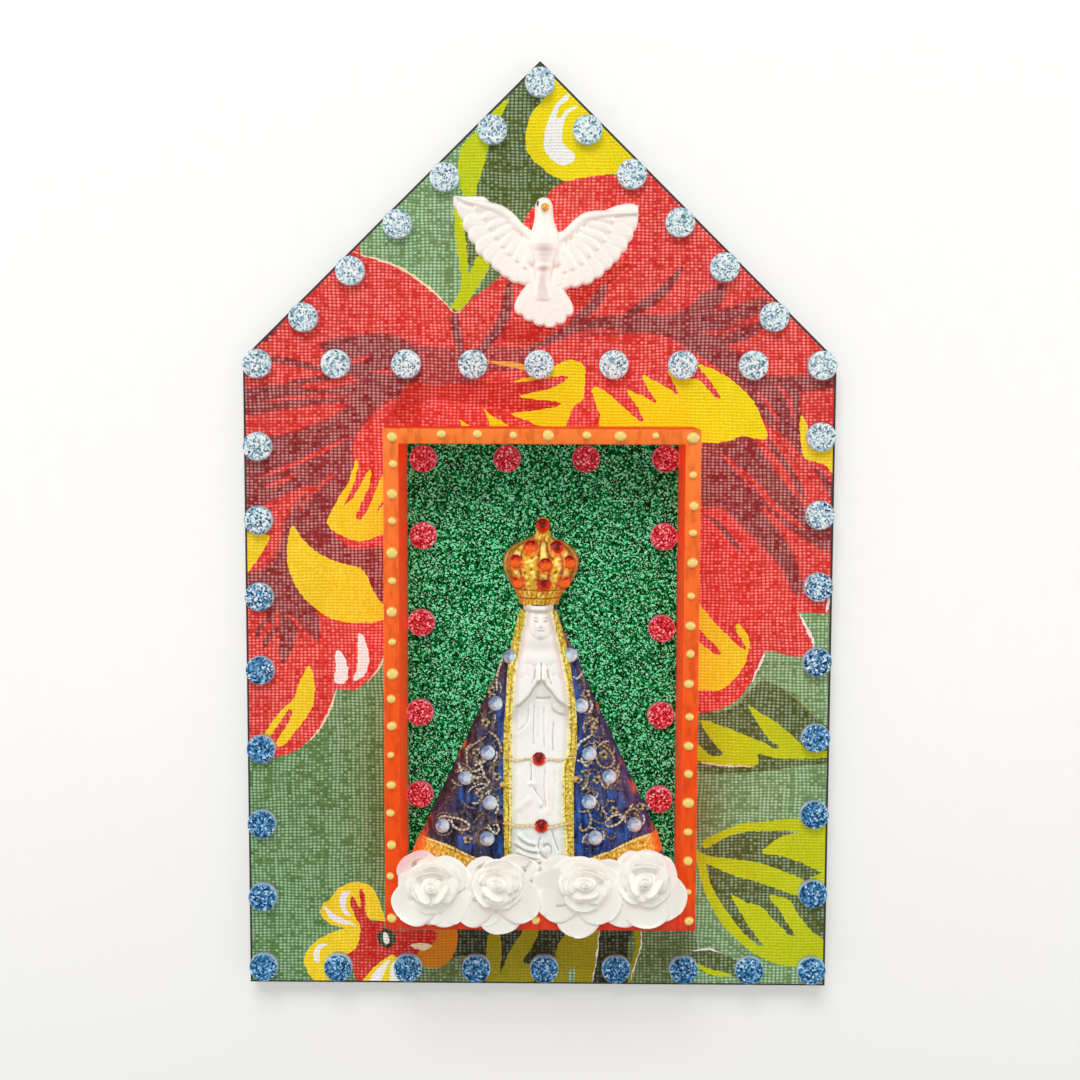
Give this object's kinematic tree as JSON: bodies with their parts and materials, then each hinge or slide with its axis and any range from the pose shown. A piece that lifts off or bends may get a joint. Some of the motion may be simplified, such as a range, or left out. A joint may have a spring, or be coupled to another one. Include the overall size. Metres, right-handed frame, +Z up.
{
  "type": "wooden chapel shrine",
  "caption": "House-shaped wall shrine: cloth-covered gabled board with a shallow orange niche box, a crowned cloaked figure, paper roses, a dove and foam discs.",
  "frame": {"origin": "middle of the rear face of the hanger on the back, where the wall holds the shrine", "axes": "+Z up to the gable's apex, +X to the right seen from the front, the front faces -Y and the wall is at +Y"},
  "size_m": [0.122, 0.0312, 0.192],
  "materials": {
    "black_board": "fibreboard painted matt black",
    "printed_cotton": "coarse plain-weave cotton with a printed floral pattern",
    "orange_paint": "satin orange paint with beads of gold relief paint",
    "green_glitter_foam": "foam sheet coated with fine green glitter, with red discs",
    "blue_glitter_foam": "foam coated with fine blue glitter",
    "white_plaster": "matt white cast plaster",
    "blue_painted_plaster": "blue and purple paint with gold trims and clear stones",
    "gold_painted_plaster": "antique gold paint with orange stones",
    "rose_paper": "white paper, slightly pink at a few edges",
    "white_resin": "pearly white cast resin",
    "hanger_steel": "plain zinc-plated steel"
  },
  "bodies": {
    "root": {"backboard": "black_board", "fabric_cover": "printed_cotton", "niche_left_wall": "orange_paint", "niche_right_wall": "orange_paint", "niche_top_wall": "orange_paint", "niche_bottom_wall": "orange_paint", "glitter_sheet": "green_glitter_foam", "figure_body": "white_plaster", "figure_mantle": "blue_painted_plaster", "figure_crown": "gold_painted_plaster", "rose_1": "rose_paper", "rose_2": "rose_paper", "rose_3": "rose_paper", "rose_4": "rose_paper", "dove": "white_resin", "wall_hanger": "hanger_steel", "blue_disc_01": "blue_glitter_foam", "blue_disc_02": "blue_glitter_foam", "blue_disc_03": "blue_glitter_foam", "blue_disc_04": "blue_glitter_foam", "blue_disc_05": "blue_glitter_foam", "blue_disc_06": "blue_glitter_foam", "blue_disc_07": "blue_glitter_foam", "blue_disc_08": "blue_glitter_foam", "blue_disc_09": "blue_glitter_foam", "blue_disc_10": "blue_glitter_foam", "blue_disc_11": "blue_glitter_foam", "blue_disc_12": "blue_glitter_foam", "blue_disc_13": "blue_glitter_foam", "blue_disc_14": "blue_glitter_foam", "blue_disc_15": "blue_glitter_foam", "blue_disc_16": "blue_glitter_foam", "blue_disc_17": "blue_glitter_foam", "blue_disc_18": "blue_glitter_foam", "blue_disc_19": "blue_glitter_foam", "blue_disc_20": "blue_glitter_foam", "blue_disc_21": "blue_glitter_foam", "blue_disc_22": "blue_glitter_foam", "blue_disc_23": "blue_glitter_foam", "blue_disc_24": "blue_glitter_foam", "blue_disc_25": "blue_glitter_foam", "blue_disc_26": "blue_glitter_foam", "blue_disc_27": "blue_glitter_foam", "blue_disc_28": "blue_glitter_foam", "blue_disc_29": "blue_glitter_foam", "blue_disc_30": "blue_glitter_foam", "blue_disc_31": "blue_glitter_foam", "blue_disc_32": "blue_glitter_foam", "blue_disc_33": "blue_glitter_foam", "blue_disc_34": "blue_glitter_foam", "blue_disc_35": "blue_glitter_foam", "blue_disc_36": "blue_glitter_foam", "blue_disc_37": "blue_glitter_foam", "blue_disc_38": "blue_glitter_foam", "blue_disc_39": "blue_glitter_foam", "blue_disc_40": "blue_glitter_foam", "blue_disc_41": "blue_glitter_foam", "blue_disc_42": "blue_glitter_foam", "blue_disc_43": "blue_glitter_foam"}
  },
  "joints": []
}
